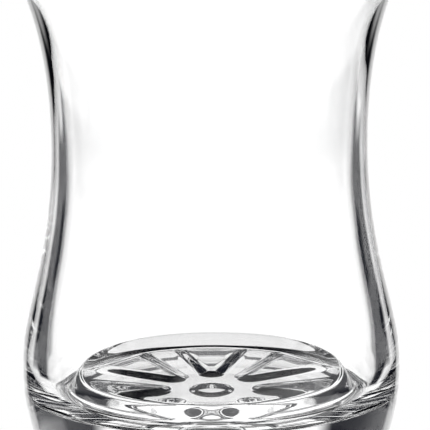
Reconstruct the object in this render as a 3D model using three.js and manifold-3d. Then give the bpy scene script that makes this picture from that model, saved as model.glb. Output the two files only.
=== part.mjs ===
// Waisted tea glass in clear pressed glass, empty, standing on its foot ring.
// Millimetres, +Z up. The origin is on the axis, in the plane that the glass stands on.
import * as THREE from 'three';
import { mergeVertices } from 'three/addons/utils/BufferGeometryUtils.js';
import Module from 'manifold-3d';

// Overall shape of the outside
const HEIGHT = 86;
const BELLY_RADIUS = 29.4;
const BELLY_HEIGHT = 20;
const WAIST_RADIUS = 24.45;
const WAIST_HEIGHT = 54.1;
const RIM_RADIUS = 31.5;
const RIM_FLARE = 0.39;

// Foot: a flat ring that the glass stands on, and the rounded heel around it
const RING_INNER_RADIUS = 23.6;
const RING_OUTER_RADIUS = 24.6;
const HEEL_HEIGHT = 2.9;
const HEEL_RADIUS = 25.5;
const HEEL_FLARE = 0.54;

// Cavity: open at the rim, narrowed at the waist, round at the bottom, its floor raised in the middle
const LIP_THICKNESS = 1.4;
const THROAT_RADIUS = 22.3;
const THROAT_HEIGHT = 50.8;
const BOWL_RADIUS = 26;
const BOWL_HEIGHT = 20.5;
const GROOVE_RADIUS = 23.4;
const GROOVE_HEIGHT = 14.5;
const FLOOR_RADIUS = 20.2;
const FLOOR_HEIGHT = 17.9;

// Flower pressed into the underside: petals and a round button, hollowed up from a shallow recess
const RECESS_DEPTH = 1.85;
const RECESS_RADIUS = 23.2;
const PETAL_COUNT = 8;
const PETAL_START = 6.2;
const PETAL_END = 22.7;
const PETAL_START_WIDTH = 5.6;
const PETAL_END_WIDTH = 12.4;
const PETAL_CORNER = 2.2;
const PETAL_DEPTH = 1.8;
const PETAL_SLOPE = 2.2;
const BUTTON_RADIUS = 3.6;
const BUTTON_DEPTH = 1.2;
const BUTTON_SLOPE = 1.2;

// Fineness of the facets
const AROUND = 64;
const STEPS = { heel: 3, foot: 6, flank: 12, flare: 9, lip: 6, mouth: 7, throat: 8, corner: 7, floor: 5 };
const BEVEL_STEPS = 3;
const CORNER_STEPS = 4;

// Control distances that give each stretch of the profile its curvature
const RING_PULL = 0.4;
const HEEL_PULL = 1.3;
const FOOT_PULL = 8.3;
const BELLY_PULL_DOWN = 0.9;
const BELLY_PULL_UP = 7.7;
const WAIST_PULL_DOWN = 17.4;
const WAIST_PULL_UP = 19.9;
const RIM_PULL = 2.9;
const MOUTH_PULL = 6.9;
const MOUTH_FLARE = 0.21;
const THROAT_PULL_UP = 21.3;
const THROAT_PULL_DOWN = 13.9;
const BOWL_PULL_UP = 7.5;
const BOWL_PULL_DOWN = 4;
const GROOVE_PULL_OUT = 1.2;
const GROOVE_PULL_IN = 1.2;
const FLOOR_PULL = 1.6;

const point = (radius, height) => new THREE.Vector2(radius, height);

function curve(from, fromPull, toPull, to, steps) {
  const bezier = new THREE.CubicBezierCurve(from, from.clone().add(fromPull), to.clone().sub(toPull), to);
  return bezier.getSpacedPoints(steps);
}

function outsideProfile(lipCentre) {
  const ring = point(RING_OUTER_RADIUS, 0);
  const heel = point(HEEL_RADIUS, HEEL_HEIGHT);
  const belly = point(BELLY_RADIUS, BELLY_HEIGHT);
  const waist = point(WAIST_RADIUS, WAIST_HEIGHT);
  const rim = point(RIM_RADIUS, lipCentre);
  const alongHeel = (pull) => point(HEEL_FLARE * pull, pull);
  return [
    ...curve(ring, point(RING_PULL, 0), alongHeel(HEEL_PULL), heel, STEPS.heel),
    ...curve(heel, alongHeel(FOOT_PULL), point(0, BELLY_PULL_DOWN), belly, STEPS.foot),
    ...curve(belly, point(0, BELLY_PULL_UP), point(0, WAIST_PULL_DOWN), waist, STEPS.flank),
    ...curve(waist, point(0, WAIST_PULL_UP), point(RIM_FLARE * RIM_PULL, RIM_PULL), rim, STEPS.flare),
  ];
}

function lipProfile(lipCentre) {
  const points = [];
  for (let step = 1; step < STEPS.lip; step += 1) {
    const angle = (Math.PI * step) / STEPS.lip;
    const across = (LIP_THICKNESS / 2) * (1 - Math.cos(angle));
    const up = (LIP_THICKNESS / 2) * Math.sin(angle);
    points.push(point(RIM_RADIUS - across, lipCentre + up));
  }
  return points;
}

// The inside, from the lip down to the edge of the level middle of the floor, and on to the axis
function insideProfile(lipCentre) {
  const mouth = point(RIM_RADIUS - LIP_THICKNESS, lipCentre);
  const throat = point(THROAT_RADIUS, THROAT_HEIGHT);
  const bowl = point(BOWL_RADIUS, BOWL_HEIGHT);
  const groove = point(GROOVE_RADIUS, GROOVE_HEIGHT);
  const floor = point(FLOOR_RADIUS, FLOOR_HEIGHT);
  const alongMouth = point(-MOUTH_FLARE * MOUTH_PULL, -MOUTH_PULL);
  return [
    ...curve(mouth, alongMouth, point(0, -THROAT_PULL_UP), throat, STEPS.mouth),
    ...curve(throat, point(0, -THROAT_PULL_DOWN), point(0, -BOWL_PULL_UP), bowl, STEPS.throat),
    ...curve(bowl, point(0, -BOWL_PULL_DOWN), point(-GROOVE_PULL_OUT, 0), groove, STEPS.corner),
    ...curve(groove, point(-GROOVE_PULL_IN, 0), point(-FLOOR_PULL, 0), floor, STEPS.floor),
    point(0, FLOOR_HEIGHT),
  ];
}

function bodyGeometry() {
  const lipCentre = HEIGHT - LIP_THICKNESS / 2;
  const profile = [
    point(0, RECESS_DEPTH),
    point(RECESS_RADIUS, RECESS_DEPTH),
    point(RING_INNER_RADIUS, 0),
    ...outsideProfile(lipCentre),
    ...lipProfile(lipCentre),
    ...insideProfile(lipCentre),
  ];
  const distinct = profile.filter((p, i) => i === 0 || p.distanceTo(profile[i - 1]) > 1e-4);
  return new THREE.LatheGeometry(distinct, AROUND).rotateX(Math.PI / 2);
}

// Outline of a petal at the roof of its hollow, pointing along +X, with round corners
function petalOutline() {
  const startHalf = PETAL_START_WIDTH / 2 - PETAL_SLOPE;
  const endHalf = PETAL_END_WIDTH / 2 - PETAL_SLOPE;
  const start = PETAL_START + PETAL_SLOPE + startHalf;
  const end = PETAL_END - PETAL_SLOPE;
  const outline = new THREE.Shape();
  outline.moveTo(start, -startHalf);
  outline.lineTo(end - PETAL_CORNER, -endHalf);
  outline.quadraticCurveTo(end, -endHalf, end, -endHalf + PETAL_CORNER);
  outline.lineTo(end, endHalf - PETAL_CORNER);
  outline.quadraticCurveTo(end, endHalf, end - PETAL_CORNER, endHalf);
  outline.lineTo(start, startHalf);
  outline.absarc(start, 0, startHalf, Math.PI / 2, (3 * Math.PI) / 2, false);
  return outline;
}

function buttonOutline() {
  const outline = new THREE.Shape();
  outline.absarc(0, 0, BUTTON_RADIUS - BUTTON_SLOPE, 0, 2 * Math.PI, false);
  return outline;
}

// A hollow with sloping sides: its roof is the outline, and it widens by the slope down to the recess
function hollowGeometry(outline, depth, slope) {
  const geometry = new THREE.ExtrudeGeometry(outline, {
    depth: 1,
    bevelThickness: depth,
    bevelSize: slope,
    bevelSegments: BEVEL_STEPS,
    curveSegments: CORNER_STEPS,
    steps: 1,
  });
  return geometry.translate(0, 0, RECESS_DEPTH - 1);
}

const wasm = await Module();
wasm.setup();

function toSolid(geometry) {
  const bare = geometry.clone();
  bare.deleteAttribute('normal');
  bare.deleteAttribute('uv');
  const merged = mergeVertices(bare, 1e-4);
  const index = merged.index.array;
  const triangles = [];
  for (let i = 0; i < index.length; i += 3) {
    const [a, b, c] = [index[i], index[i + 1], index[i + 2]];
    if (a !== b && b !== c && c !== a) {
      triangles.push(a, b, c);
    }
  }
  const mesh = new wasm.Mesh({
    numProp: 3,
    vertProperties: new Float32Array(merged.attributes.position.array),
    triVerts: new Uint32Array(triangles),
  });
  return new wasm.Manifold(mesh);
}

function toGeometry(solid) {
  const mesh = solid.getMesh();
  const geometry = new THREE.BufferGeometry();
  geometry.setAttribute('position', new THREE.BufferAttribute(mesh.vertProperties, 3));
  geometry.setIndex(new THREE.BufferAttribute(mesh.triVerts, 1));
  geometry.computeVertexNormals();
  return geometry;
}

function glassGeometry() {
  let solid = toSolid(bodyGeometry());
  const petal = hollowGeometry(petalOutline(), PETAL_DEPTH, PETAL_SLOPE);
  for (let i = 0; i < PETAL_COUNT; i += 1) {
    const turned = petal.clone().rotateZ((2 * Math.PI * i) / PETAL_COUNT);
    solid = solid.subtract(toSolid(turned));
  }
  solid = solid.subtract(toSolid(hollowGeometry(buttonOutline(), BUTTON_DEPTH, BUTTON_SLOPE)));
  return toGeometry(solid);
}

const clearGlass = new THREE.MeshStandardMaterial({
  color: 0xf4f7f8,
  roughness: 0.02,
  metalness: 0,
  transparent: true,
  opacity: 0.35,
});

const glass = new THREE.Mesh(glassGeometry(), clearGlass);
glass.name = 'glass';

const teaGlass = new THREE.Group();
teaGlass.add(glass);

export default teaGlass;
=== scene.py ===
import math

import bpy
import numpy as np
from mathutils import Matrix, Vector


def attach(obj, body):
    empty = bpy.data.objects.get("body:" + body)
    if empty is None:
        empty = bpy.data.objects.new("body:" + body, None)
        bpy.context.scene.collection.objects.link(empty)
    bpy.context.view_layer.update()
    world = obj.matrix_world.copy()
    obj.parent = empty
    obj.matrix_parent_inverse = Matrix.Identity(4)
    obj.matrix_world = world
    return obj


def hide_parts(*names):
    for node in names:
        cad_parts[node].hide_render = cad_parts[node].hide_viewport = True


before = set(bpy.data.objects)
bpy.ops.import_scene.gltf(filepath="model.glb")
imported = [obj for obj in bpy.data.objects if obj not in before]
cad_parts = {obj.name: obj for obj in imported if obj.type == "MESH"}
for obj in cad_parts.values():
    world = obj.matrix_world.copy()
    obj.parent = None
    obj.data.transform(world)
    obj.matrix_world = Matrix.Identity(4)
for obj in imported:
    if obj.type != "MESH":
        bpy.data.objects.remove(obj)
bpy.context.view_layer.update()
MM = 0.001

# Outside, as in the CAD part
HEIGHT = 86
BELLY_RADIUS = 29.4
BELLY_HEIGHT = 20
WAIST_RADIUS = 24.45
WAIST_HEIGHT = 54.1
RIM_RADIUS = 31.5
RIM_FLARE = 0.39
RING_INNER_RADIUS = 23.6
RING_OUTER_RADIUS = 24.6
HEEL_HEIGHT = 2.9
HEEL_RADIUS = 25.5
HEEL_FLARE = 0.54

# Cavity, as in the CAD part
LIP_THICKNESS = 1.4
THROAT_RADIUS = 22.3
THROAT_HEIGHT = 50.8
BOWL_RADIUS = 26
BOWL_HEIGHT = 20.5
GROOVE_RADIUS = 23.4
GROOVE_HEIGHT = 14.5
FLOOR_RADIUS = 20.2
FLOOR_HEIGHT = 17.9

# Control distances that give each stretch of the profile its curvature
RING_PULL = 0.4
HEEL_PULL = 1.3
FOOT_PULL = 8.3
BELLY_PULL_DOWN = 0.9
BELLY_PULL_UP = 7.7
WAIST_PULL_DOWN = 17.4
WAIST_PULL_UP = 19.9
RIM_PULL = 2.9
MOUTH_PULL = 6.9
MOUTH_FLARE = 0.21
THROAT_PULL_UP = 21.3
THROAT_PULL_DOWN = 13.9
BOWL_PULL_UP = 7.5
BOWL_PULL_DOWN = 4
GROOVE_PULL_OUT = 1.2
GROOVE_PULL_IN = 1.2
FLOOR_PULL = 1.6

# Flower of hollows in the underside
RECESS_DEPTH = 1.85
RECESS_RADIUS = 23.2
PETAL_COUNT = 8
PETAL_START = 6.2
PETAL_START_RADIUS = 2.7
PETAL_END = 23.1
PETAL_END_RADIUS = 6.5
PETAL_END_CENTRE = 22.1
PETAL_DEPTH = 1.8
PETAL_SLOPE = 2.5
BUTTON_RADIUS = 3.6
BUTTON_DEPTH = 1.2
BUTTON_SLOPE = 1.2

# Glass: its waviness, and the scuffs that fade out a short way above the foot ring
GLASS_IOR = 1.52
WAVE_SCALE = 90
WAVE_DETAIL = 1
WAVE_STRENGTH = 0.12
WAVE_HEIGHT = 0.0003
SCUFF_SCALE = 1400
SCUFF_DETAIL = 4
SCUFF_HEIGHT = 0.3
SCUFF_ROUGHNESS = 0.5

# Floor, in metres: white with a painted shadow, darkest where the glass touches it and fading to white
# further out
FLOOR_DISC_RADIUS = 3
FLOOR_GAP = 0.0002
PAINTED_SHADOW_FROM = 0.023
PAINTED_SHADOW_TO = 0.038
PAINTED_SHADOW_STRENGTH = 0.55

# Dark patch under the floor, in metres: painted shade standing in for the shadow under the glass; it
# darkens the base and only the glass shows it
SHADE_RADIUS = 0.036
SHADE_DEPTH = 0.0103
SHADE_FORWARD = 0.0085

# Studio by direction, in degrees: white panels, a white floor seen steeply and a white ceiling
SHADE_COLOUR = (0.0105, 0.0115, 0.017)
LIGHT_COLOUR = (1.24, 1.24, 1.24)
WHITE = (1, 1, 1, 1)
CEILING_FROM = 50
FLOOR_FROM = -29
SOFT_EDGE = 3
PANEL_SOFT_EDGE = 7
HALF_TURN = 180

# Each panel: the azimuth of its middle, half its width, its lowest and highest elevation
PANELS = (
    (0, 26, -40, 2.5),
    (0, 35, -40, -17.5),
    (135, 34, -25, -5),
    (180, 22, -23, -5),
    (-90, 28, -12, 2),
    (90, 28, -12, 2),
    (-45, 28, -40, -22),
)

# Camera: angles in degrees, distance in metres, heights and widths at the glass's axis in millimetres
CAMERA_ELEVATION = 12.3
CAMERA_DISTANCE = 0.65
CAMERA_ROLL = -0.487
AIM_HEIGHT = 42.73
FRAME_WIDTH = 66.65
SIDE_SHIFT = 0.01146
SENSOR_WIDTH = 36

# Light bounces, enough to pass through both walls and the base
MAX_BOUNCES = 24
GLOSSY_BOUNCES = 16

# Fineness of the meshes
AROUND = 288
STEPS = {
    "heel": 6, "foot": 16, "flank": 36, "flare": 28, "lip": 12,
    "mouth": 28, "throat": 32, "corner": 44, "floor": 14,
}
CURVE_SAMPLES = 400
UNDERSIDE_RINGS = 84
RING_STEPS = 6
MIDDLE_RADIUS = 0.2
FLOOR_RING_STEP = 2
SHARP_ANGLE = 30
DISC_SIDES = 96


def curve(start, start_pull, end_pull, end, steps):
    """Evenly spaced points of a cubic curve, without its first point."""
    points = np.array([start, np.add(start, start_pull), np.subtract(end, end_pull), end], float)
    t = np.linspace(0, 1, CURVE_SAMPLES)[:, None]
    fine = ((1 - t) ** 3) * points[0] + 3 * ((1 - t) ** 2) * t * points[1]
    fine = fine + 3 * (1 - t) * t * t * points[2] + (t**3) * points[3]
    along = np.concatenate([[0], np.cumsum(np.hypot(*np.diff(fine, axis=0).T))])
    even = np.linspace(0, along[-1], steps + 1)[1:]
    return np.stack([np.interp(even, along, fine[:, 0]), np.interp(even, along, fine[:, 1])], axis=1)


def outside_profile(lip_centre):
    heel = (HEEL_RADIUS, HEEL_HEIGHT)
    belly = (BELLY_RADIUS, BELLY_HEIGHT)
    waist = (WAIST_RADIUS, WAIST_HEIGHT)
    rim = (RIM_RADIUS, lip_centre)
    along_heel = np.array([HEEL_FLARE, 1])
    along_rim = (RIM_FLARE * RIM_PULL, RIM_PULL)
    return np.vstack([
        curve((RING_OUTER_RADIUS, 0), (RING_PULL, 0), along_heel * HEEL_PULL, heel, STEPS["heel"]),
        curve(heel, along_heel * FOOT_PULL, (0, BELLY_PULL_DOWN), belly, STEPS["foot"]),
        curve(belly, (0, BELLY_PULL_UP), (0, WAIST_PULL_DOWN), waist, STEPS["flank"]),
        curve(waist, (0, WAIST_PULL_UP), along_rim, rim, STEPS["flare"]),
    ])


def lip_profile(lip_centre):
    angle = np.linspace(0, math.pi, STEPS["lip"] + 1)[1:]
    across = LIP_THICKNESS / 2 * (1 - np.cos(angle))
    up = LIP_THICKNESS / 2 * np.sin(angle)
    return np.stack([RIM_RADIUS - across, lip_centre + up], axis=1)


def inside_profile(lip_centre):
    mouth = (RIM_RADIUS - LIP_THICKNESS, lip_centre)
    throat = (THROAT_RADIUS, THROAT_HEIGHT)
    bowl = (BOWL_RADIUS, BOWL_HEIGHT)
    groove = (GROOVE_RADIUS, GROOVE_HEIGHT)
    floor_edge = (FLOOR_RADIUS, FLOOR_HEIGHT)
    along_mouth = (-MOUTH_FLARE * MOUTH_PULL, -MOUTH_PULL)
    return np.vstack([
        curve(mouth, along_mouth, (0, -THROAT_PULL_UP), throat, STEPS["mouth"]),
        curve(throat, (0, -THROAT_PULL_DOWN), (0, -BOWL_PULL_UP), bowl, STEPS["throat"]),
        curve(bowl, (0, -BOWL_PULL_DOWN), (-GROOVE_PULL_OUT, 0), groove, STEPS["corner"]),
        curve(groove, (-GROOVE_PULL_IN, 0), (-FLOOR_PULL, 0), floor_edge, STEPS["floor"]),
    ])


def eased(depth, width):
    """0 at the edge of a hollow and 1 from the foot of its slope on, rounded at both ends."""
    t = np.clip(depth / width, 0, 1)
    return t * t * (3 - 2 * t)


def petal_depth(along, across):
    """How far a point lies inside a petal's outline: a drop that widens outwards, cut off at the end."""
    start = PETAL_START + PETAL_START_RADIUS
    length = PETAL_END_CENTRE - start
    lean = (PETAL_START_RADIUS - PETAL_END_RADIUS) / length
    side = math.sqrt(1 - lean * lean)
    x, y = np.abs(across), along - start
    place = -lean * x + side * y
    near_start = np.hypot(x, y) - PETAL_START_RADIUS
    near_end = np.hypot(x, y - length) - PETAL_END_RADIUS
    between = side * x + lean * y - PETAL_START_RADIUS
    outside = np.where(place < 0, near_start, np.where(place > side * length, near_end, between))
    return -np.maximum(outside, along - PETAL_END)


def underside_height(radius, angle):
    """Height of the underside: a shallow recess, with the petals and the button hollowed up from it.

    The CAD part's hollows have steeper, quarter-round slopes and its petals are up to 2 mm wider, so the
    two heights differ by 0.3 mm on average and by 1.4 mm at most.
    """
    sector = 2 * math.pi / PETAL_COUNT
    turned = angle - np.round(angle / sector) * sector
    petal = petal_depth(radius * np.cos(turned), radius * np.sin(turned))
    height = RECESS_DEPTH + PETAL_DEPTH * eased(petal, PETAL_SLOPE)
    height = height + BUTTON_DEPTH * eased(BUTTON_RADIUS - radius, BUTTON_SLOPE)
    ring = eased(radius - RECESS_RADIUS, RING_INNER_RADIUS - RECESS_RADIUS)
    return height * (1 - ring)


def mesh_object(name, vertices, faces):
    mesh = bpy.data.meshes.new(name)
    mesh.from_pydata([tuple(v) for v in vertices], [], faces)
    mesh.update()
    thing = bpy.data.objects.new(name, mesh)
    bpy.context.scene.collection.objects.link(thing)
    return thing


def turned_points(radius, angle, height):
    return np.stack([radius * np.cos(angle), radius * np.sin(angle), height], axis=-1)


def glass_object():
    """The glass as rings of points, from the middle of the underside out, up, in and down to the floor."""
    angle = np.arange(AROUND) * 2 * math.pi / AROUND
    lip_centre = HEIGHT - LIP_THICKNESS / 2
    under = np.concatenate([
        np.linspace(MIDDLE_RADIUS, RECESS_RADIUS, UNDERSIDE_RINGS),
        np.linspace(RECESS_RADIUS, RING_INNER_RADIUS, RING_STEPS)[1:],
    ])
    upper = np.vstack([
        [[RING_OUTER_RADIUS, 0]],
        outside_profile(lip_centre),
        lip_profile(lip_centre),
        inside_profile(lip_centre),
        [[r, FLOOR_HEIGHT] for r in range(int(FLOOR_RADIUS) - 1, 0, -FLOOR_RING_STEP)],
    ])
    radius, turn = np.meshgrid(under, angle, indexing="ij")
    under_rings = turned_points(radius, turn, underside_height(radius, turn))
    radius, turn = np.meshgrid(upper[:, 0], angle, indexing="ij")
    upper_rings = turned_points(radius, turn, np.repeat(upper[:, 1][:, None], AROUND, axis=1))
    grid = np.vstack([under_rings, upper_rings])
    count = len(grid)
    middle_below = [0, 0, RECESS_DEPTH + BUTTON_DEPTH]
    middle_above = [0, 0, FLOOR_HEIGHT]
    vertices = np.vstack([grid.reshape(-1, 3), [middle_below, middle_above]]) * MM
    below, above = count * AROUND, count * AROUND + 1
    last = (count - 1) * AROUND
    faces = []
    for i in range(AROUND):
        j = (i + 1) % AROUND
        faces.append((below, j, i))
        for ring in range(count - 1):
            low, high = ring * AROUND, (ring + 1) * AROUND
            faces.append((low + i, low + j, high + j, high + i))
        faces.append((last + i, last + j, above))
    thing = mesh_object("tea_glass", vertices, faces)
    thing.data.shade_smooth()
    thing.data.set_sharp_from_angle(angle=math.radians(SHARP_ANGLE))
    return thing


def new_material(name):
    material = bpy.data.materials.new(name)
    material.use_nodes = True
    material.node_tree.nodes.clear()
    return material, material.node_tree.nodes, material.node_tree.links


def clear_glass():
    """Clear soda-lime glass, with pressed glass's faint waviness and a foot ring scuffed by table tops."""
    material, nodes, links = new_material("clear_glass")
    output = nodes.new("ShaderNodeOutputMaterial")
    shader = nodes.new("ShaderNodeBsdfPrincipled")
    shader.inputs["Base Color"].default_value = WHITE
    shader.inputs["Metallic"].default_value = 0
    shader.inputs["IOR"].default_value = GLASS_IOR
    shader.inputs["Transmission Weight"].default_value = 1
    links.new(shader.outputs["BSDF"], output.inputs["Surface"])
    place = nodes.new("ShaderNodeTexCoord")
    waves = nodes.new("ShaderNodeTexNoise")
    waves.inputs["Scale"].default_value = WAVE_SCALE
    waves.inputs["Detail"].default_value = WAVE_DETAIL
    bump = nodes.new("ShaderNodeBump")
    bump.inputs["Strength"].default_value = WAVE_STRENGTH
    bump.inputs["Distance"].default_value = WAVE_HEIGHT
    links.new(place.outputs["Object"], waves.inputs["Vector"])
    links.new(waves.outputs["Fac"], bump.inputs["Height"])
    links.new(bump.outputs["Normal"], shader.inputs["Normal"])
    scuffs = nodes.new("ShaderNodeTexNoise")
    scuffs.inputs["Scale"].default_value = SCUFF_SCALE
    scuffs.inputs["Detail"].default_value = SCUFF_DETAIL
    links.new(place.outputs["Object"], scuffs.inputs["Vector"])
    parts = nodes.new("ShaderNodeSeparateXYZ")
    links.new(place.outputs["Object"], parts.inputs["Vector"])
    foot = nodes.new("ShaderNodeMapRange")
    foot.inputs["From Min"].default_value = 0
    foot.inputs["From Max"].default_value = SCUFF_HEIGHT * MM
    foot.inputs["To Min"].default_value = SCUFF_ROUGHNESS
    foot.inputs["To Max"].default_value = 0
    links.new(parts.outputs["Z"], foot.inputs["Value"])
    scuffed = nodes.new("ShaderNodeMath")
    scuffed.operation = "MULTIPLY"
    links.new(scuffs.outputs["Fac"], scuffed.inputs[0])
    links.new(foot.outputs["Result"], scuffed.inputs[1])
    links.new(scuffed.outputs["Value"], shader.inputs["Roughness"])
    return material


def glowing(name, strength):
    """A surface that shines evenly, white at strength 1 and black at 0."""
    material, nodes, links = new_material(name)
    output = nodes.new("ShaderNodeOutputMaterial")
    glow = nodes.new("ShaderNodeEmission")
    glow.inputs["Color"].default_value = WHITE
    glow.inputs["Strength"].default_value = strength
    links.new(glow.outputs["Emission"], output.inputs["Surface"])
    return material, nodes, links, glow


def pale_floor():
    """White, with a painted shadow that darkens it close round the foot."""
    material, nodes, links, glow = glowing("pale_floor", 1)
    place = nodes.new("ShaderNodeTexCoord")
    distance = nodes.new("ShaderNodeVectorMath")
    distance.operation = "LENGTH"
    links.new(place.outputs["Object"], distance.inputs[0])
    # Painted shadow: the floor's glow is dimmed near the axis, where the glass stands
    painted_shadow = nodes.new("ShaderNodeMapRange")
    painted_shadow.interpolation_type = "SMOOTHSTEP"
    painted_shadow.inputs["From Min"].default_value = PAINTED_SHADOW_FROM
    painted_shadow.inputs["From Max"].default_value = PAINTED_SHADOW_TO
    painted_shadow.inputs["To Min"].default_value = PAINTED_SHADOW_STRENGTH
    painted_shadow.inputs["To Max"].default_value = 1
    links.new(distance.outputs["Value"], painted_shadow.inputs["Value"])
    links.new(painted_shadow.outputs["Result"], glow.inputs["Strength"])
    return material


def disc(name, radius, height, material, forward=0):
    """A level disc, its middle set forward of the axis. The lengths are in metres."""
    angle = np.arange(DISC_SIDES) * 2 * math.pi / DISC_SIDES
    level = np.full(DISC_SIDES, height)
    vertices = np.stack([radius * np.cos(angle), radius * np.sin(angle) - forward, level], axis=1)
    thing = mesh_object(name, vertices, [tuple(range(DISC_SIDES))])
    thing.data.materials.append(material)
    return thing


def math_node(tree, operation, *values):
    """What a Math node gives for numbers or other nodes' outputs."""
    node = tree.nodes.new("ShaderNodeMath")
    node.operation = operation
    for socket, value in zip(node.inputs, values):
        if isinstance(value, bpy.types.NodeSocket):
            tree.links.new(value, socket)
        else:
            socket.default_value = value
    return node.outputs[0]


def soft_step(tree, value, middle, edge=SOFT_EDGE):
    """1 below the middle and 0 above it, in degrees, with a soft edge."""
    step = tree.nodes.new("ShaderNodeMapRange")
    step.interpolation_type = "SMOOTHSTEP"
    tree.links.new(value, step.inputs["Value"])
    step.inputs["From Min"].default_value = middle - edge / 2
    step.inputs["From Max"].default_value = middle + edge / 2
    step.inputs["To Min"].default_value = 1
    step.inputs["To Max"].default_value = 0
    return step.outputs["Result"]


def light_by_direction(tree):
    """1 where the studio is lit and 0 where it is dark. Azimuth 0 lies behind the glass."""
    way = tree.nodes.new("ShaderNodeTexCoord")
    parts = tree.nodes.new("ShaderNodeSeparateXYZ")
    tree.links.new(way.outputs["Generated"], parts.inputs["Vector"])
    elevation = math_node(tree, "DEGREES", math_node(tree, "ARCSINE", parts.outputs["Z"]))
    heading = math_node(tree, "ARCTAN2", parts.outputs["X"], parts.outputs["Y"])
    azimuth = math_node(tree, "DEGREES", heading)
    floor_light = soft_step(tree, elevation, FLOOR_FROM)
    ceiling_light = math_node(tree, "SUBTRACT", 1, soft_step(tree, elevation, CEILING_FROM))
    light = math_node(tree, "MAXIMUM", floor_light, ceiling_light)
    for middle, half_width, lowest, highest in PANELS:
        offset = math_node(tree, "SUBTRACT", azimuth, middle)
        offset = math_node(tree, "ABSOLUTE", math_node(tree, "WRAP", offset, HALF_TURN, -HALF_TURN))
        below_top = soft_step(tree, elevation, highest)
        band = math_node(tree, "SUBTRACT", below_top, soft_step(tree, elevation, lowest))
        across = soft_step(tree, offset, half_width, PANEL_SOFT_EDGE)
        light = math_node(tree, "MAXIMUM", light, math_node(tree, "MULTIPLY", across, band))
    return light


def studio_world():
    """The camera sees plain white, and the glass the studio's light and dark directions."""
    world = bpy.data.worlds.new("studio")
    world.use_nodes = True
    tree = world.node_tree
    nodes, links = tree.nodes, tree.links
    nodes.clear()
    colour = nodes.new("ShaderNodeMix")
    colour.data_type = "RGBA"
    colour.clamp_result = False
    links.new(light_by_direction(tree), colour.inputs["Factor"])
    shade_socket, light_socket = [socket for socket in colour.inputs if socket.type == "RGBA"]
    shade_socket.default_value = (*SHADE_COLOUR, 1)
    light_socket.default_value = (*LIGHT_COLOUR, 1)
    mixed = [socket for socket in colour.outputs if socket.type == "RGBA"][0]
    studio = nodes.new("ShaderNodeBackground")
    links.new(mixed, studio.inputs["Color"])
    backdrop = nodes.new("ShaderNodeBackground")
    backdrop.inputs["Color"].default_value = WHITE
    seen = nodes.new("ShaderNodeLightPath")
    choice = nodes.new("ShaderNodeMixShader")
    links.new(seen.outputs["Is Camera Ray"], choice.inputs["Fac"])
    links.new(studio.outputs["Background"], choice.inputs[1])
    links.new(backdrop.outputs["Background"], choice.inputs[2])
    sky = nodes.new("ShaderNodeOutputWorld")
    links.new(choice.outputs["Shader"], sky.inputs["Surface"])
    return world


def photo_camera():
    """Camera at the photograph's elevation, close in on the belly and the waist.

    The roll has the wrong sign: with the opposite one the outline would lie closer to the photograph's.
    """
    camera_data = bpy.data.cameras.new("camera")
    camera = bpy.data.objects.new("camera", camera_data)
    bpy.context.scene.collection.objects.link(camera)
    tilt = math.radians(CAMERA_ELEVATION)
    back = Vector((0, -math.cos(tilt), math.sin(tilt)))
    camera.location = Vector((0, 0, AIM_HEIGHT * MM)) + back * CAMERA_DISTANCE
    camera.rotation_euler = (-back).to_track_quat("-Z", "Y").to_euler()
    camera.rotation_euler.rotate_axis("Z", math.radians(CAMERA_ROLL))
    camera_data.sensor_width = SENSOR_WIDTH
    camera_data.lens = camera_data.sensor_width * CAMERA_DISTANCE / (FRAME_WIDTH * MM)
    camera_data.shift_x = SIDE_SHIFT
    camera_data.dof.use_dof = False
    return camera


glass = glass_object()
glass.data.materials.append(clear_glass())
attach(glass, "root")
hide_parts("glass")

# Floor that only the camera sees, so that the light through the glass is the studio's alone
floor = disc("floor", FLOOR_DISC_RADIUS, -FLOOR_GAP, pale_floor())
floor.visible_diffuse = False
floor.visible_glossy = False
floor.visible_transmission = False
floor.visible_shadow = False

# Dark patch of painted shade, standing in for the shadow under the glass, that only rays through or off
# the glass meet
shade = disc("floor_shade", SHADE_RADIUS, -SHADE_DEPTH, glowing("shade", 0)[0], SHADE_FORWARD)
shade.visible_camera = False
shade.visible_diffuse = False
shade.visible_shadow = False

scene = bpy.context.scene
scene.world = studio_world()
bpy.context.scene.camera = photo_camera()
scene.view_settings.view_transform = "Standard"
scene.cycles.max_bounces = MAX_BOUNCES
scene.cycles.transmission_bounces = MAX_BOUNCES
scene.cycles.glossy_bounces = GLOSSY_BOUNCES
scene.cycles.use_denoising = True
